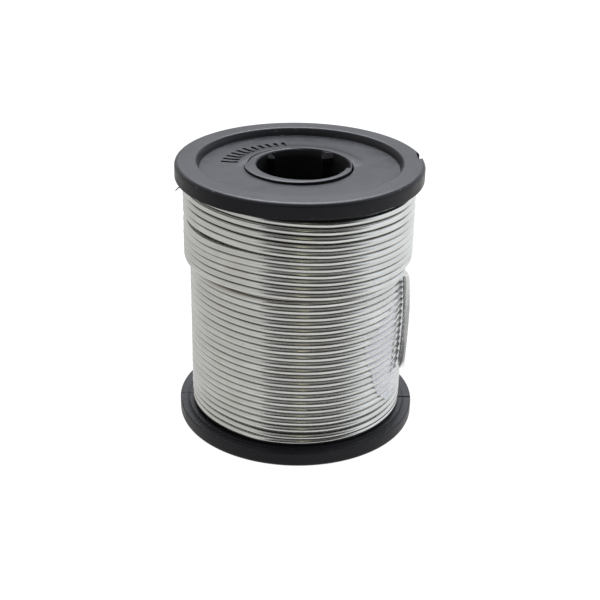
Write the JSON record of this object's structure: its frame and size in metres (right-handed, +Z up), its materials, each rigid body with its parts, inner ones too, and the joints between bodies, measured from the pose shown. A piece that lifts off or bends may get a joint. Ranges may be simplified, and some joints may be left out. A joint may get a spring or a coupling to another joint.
{
  "type": "solder wire spool",
  "caption": "Reel of fine solder wire: close-wound bright wire on a black flanged plastic spool with a through bore, its cut end held down by clear tape.",
  "frame": {"origin": "on the spool's axis, in the plane that the bottom flange's rim stands on", "axes": "+Z up along the spool's axis, from the bottom flange to the top flange; -Y is the side that faces the viewer, +X to the right"},
  "size_m": [0.053, 0.053, 0.06],
  "materials": {
    "flange_plastic": "satin black moulded plastic",
    "core_plastic": "satin black moulded plastic",
    "solder_wire": "bright drawn tin alloy, soft sheen",
    "clear_tape": "clear adhesive film"
  },
  "bodies": {
    "root": {"bottom_flange": "flange_plastic", "top_flange": "flange_plastic", "core_tube": "core_plastic", "solder_wire_full_layers": "solder_wire", "solder_wire_outer_layer": "solder_wire", "solder_wire_tail": "solder_wire", "end_tape": "clear_tape"}
  },
  "joints": []
}
